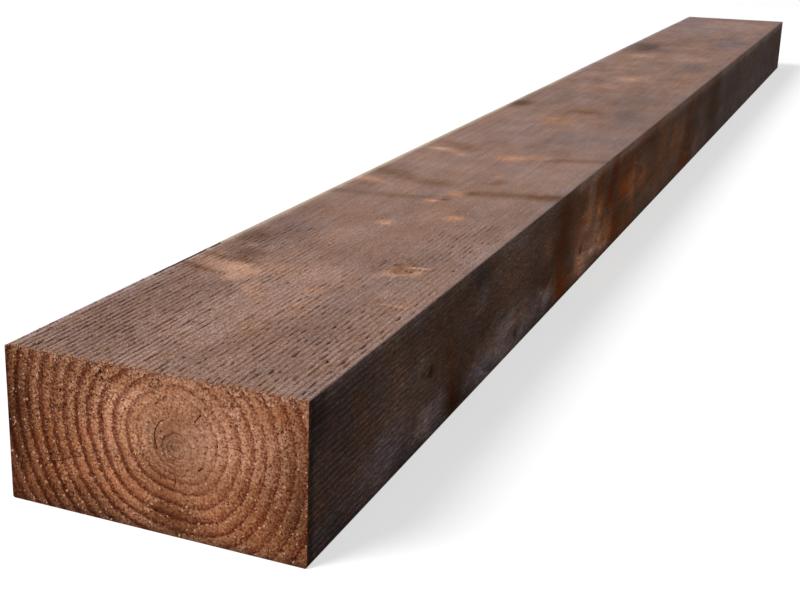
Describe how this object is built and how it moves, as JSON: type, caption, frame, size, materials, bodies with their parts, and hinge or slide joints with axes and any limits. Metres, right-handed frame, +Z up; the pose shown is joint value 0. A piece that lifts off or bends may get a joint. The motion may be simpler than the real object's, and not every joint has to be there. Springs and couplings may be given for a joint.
{
  "type": "railway sleeper",
  "caption": "Rectangular softwood baulk, sawn and treated brown, laid flat as a railway sleeper or a landscaping sleeper for walls, edging and steps.",
  "frame": {"origin": "centre of the bottom face, on the ground under the sleeper's middle", "axes": "+Z up through the thickness, +Y along the length and the grain, +X across the width; the end in view in the reference is at -Y"},
  "size_m": [0.2, 2.4, 0.1],
  "materials": {
    "treated_timber": "rough-sawn softwood with brown pressure treatment, matt"
  },
  "bodies": {
    "root": {"sleeper": "treated_timber"}
  },
  "joints": []
}
